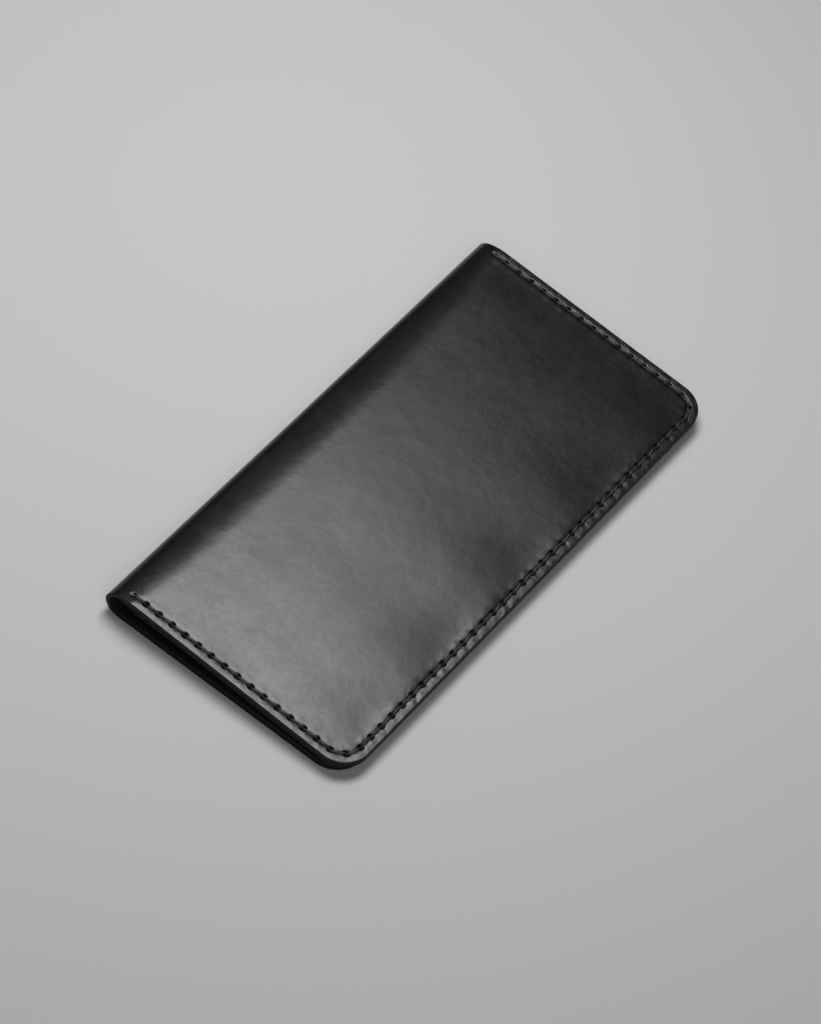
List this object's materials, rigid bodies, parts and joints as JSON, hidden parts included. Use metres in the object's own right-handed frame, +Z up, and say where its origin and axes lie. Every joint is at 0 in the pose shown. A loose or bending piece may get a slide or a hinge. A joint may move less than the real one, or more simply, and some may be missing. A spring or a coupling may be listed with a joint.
{
  "type": "travel wallet",
  "caption": "Long folded leather travel wallet, saddle stitched on three sides, with passport, note and ticket pockets and card slots; it opens flat on its fold.",
  "frame": {"origin": "middle of the closed wallet's footprint, on the surface that it lies on", "axes": "+Z up, +Y along the fold, +X from the fold to the free long edge"},
  "size_m": [0.094, 0.19, 0.0113],
  "materials": {
    "cover_leather": "smooth black leather, semi-gloss, burnished edges",
    "pocket_leather": "thin smooth black leather, satin",
    "seam_thread": "waxed black twisted thread, thick",
    "pocket_thread": "waxed black twisted thread, fine"
  },
  "bodies": {
    "back_half": {"back_cover": "cover_leather", "passport_pocket": "pocket_leather", "back_seam_strand_1": "seam_thread", "back_seam_strand_2": "seam_thread"},
    "fold_band_1": {"spine_strip_1": "cover_leather"},
    "fold_band_2": {"spine_strip_2": "cover_leather"},
    "front_half": {"front_cover": "cover_leather", "note_pocket": "pocket_leather", "front_seam_strand_1": "seam_thread", "front_seam_strand_2": "seam_thread", "card_slot_1": "pocket_leather", "card_slot_2": "pocket_leather", "card_slot_3": "pocket_leather", "ticket_pocket": "pocket_leather", "card_seam_thread": "pocket_thread", "ticket_seam_thread": "pocket_thread"}
  },
  "joints": [
    {"name": "fold_hinge_1", "type": "hinge", "parent": "back_half", "child": "fold_band_1", "pos_m": [-0.04421, 0, 0.00079], "axis": [0, -1, 0], "range_deg": [0, 61.18]},
    {"name": "fold_hinge_2", "type": "hinge", "parent": "fold_band_1", "child": "fold_band_2", "pos_m": [-0.047, 0, 0.00585], "axis": [0, -1, 0], "range_deg": [0, 61.18]},
    {"name": "fold_hinge_3", "type": "hinge", "parent": "fold_band_2", "child": "front_half", "pos_m": [-0.04391, 0, 0.01073], "axis": [0, -1, 0], "range_deg": [0, 61.18]}
  ],
  "couplings": [
    {"joint": "fold_hinge_2", "follows": "fold_hinge_1", "ratio": 1},
    {"joint": "fold_hinge_3", "follows": "fold_hinge_1", "ratio": 1}
  ]
}
